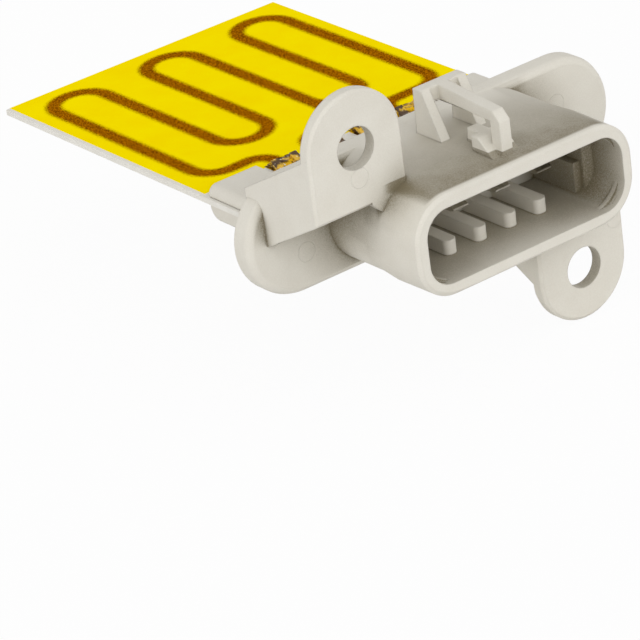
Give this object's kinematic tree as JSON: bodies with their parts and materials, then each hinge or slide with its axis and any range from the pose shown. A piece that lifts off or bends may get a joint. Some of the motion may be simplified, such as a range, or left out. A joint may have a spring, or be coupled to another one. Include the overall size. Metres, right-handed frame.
{
  "type": "blower motor resistor",
  "caption": "Moulded connector housing with diagonal screw ears that grips a ceramic card printed with a resistor track, cooled by a car blower's air stream.",
  "frame": {"origin": "centre of the connector's mouth, in the plane of its rim", "axes": "+Y runs from the mouth back along the card, +Z is square to the card's printed face, +X is to the right for someone who looks into the mouth"},
  "size_m": [0.0696, 0.0963, 0.0515],
  "materials": {
    "housing": "fine matte grain",
    "ceramic": "sintered white ceramic",
    "glaze": "satin yellow glass coat",
    "resistor_print": "fired print under a thin coat",
    "pad": "fired metal print",
    "solder": "dull solder",
    "terminal": "tin plate"
  },
  "bodies": {
    "root": {"housing": "housing", "ceramic_card": "ceramic", "glaze_coat": "glaze", "track_low": "resistor_print", "track_middle": "resistor_print", "track_high": "resistor_print", "lead_second": "resistor_print", "lead_third": "resistor_print", "contact_pad_1": "pad", "solder_joint_1": "solder", "terminal_1": "terminal", "contact_pad_2": "pad", "solder_joint_2": "solder", "terminal_2": "terminal", "contact_pad_3": "pad", "solder_joint_3": "solder", "terminal_3": "terminal", "contact_pad_4": "pad", "solder_joint_4": "solder", "terminal_4": "terminal"}
  },
  "joints": []
}
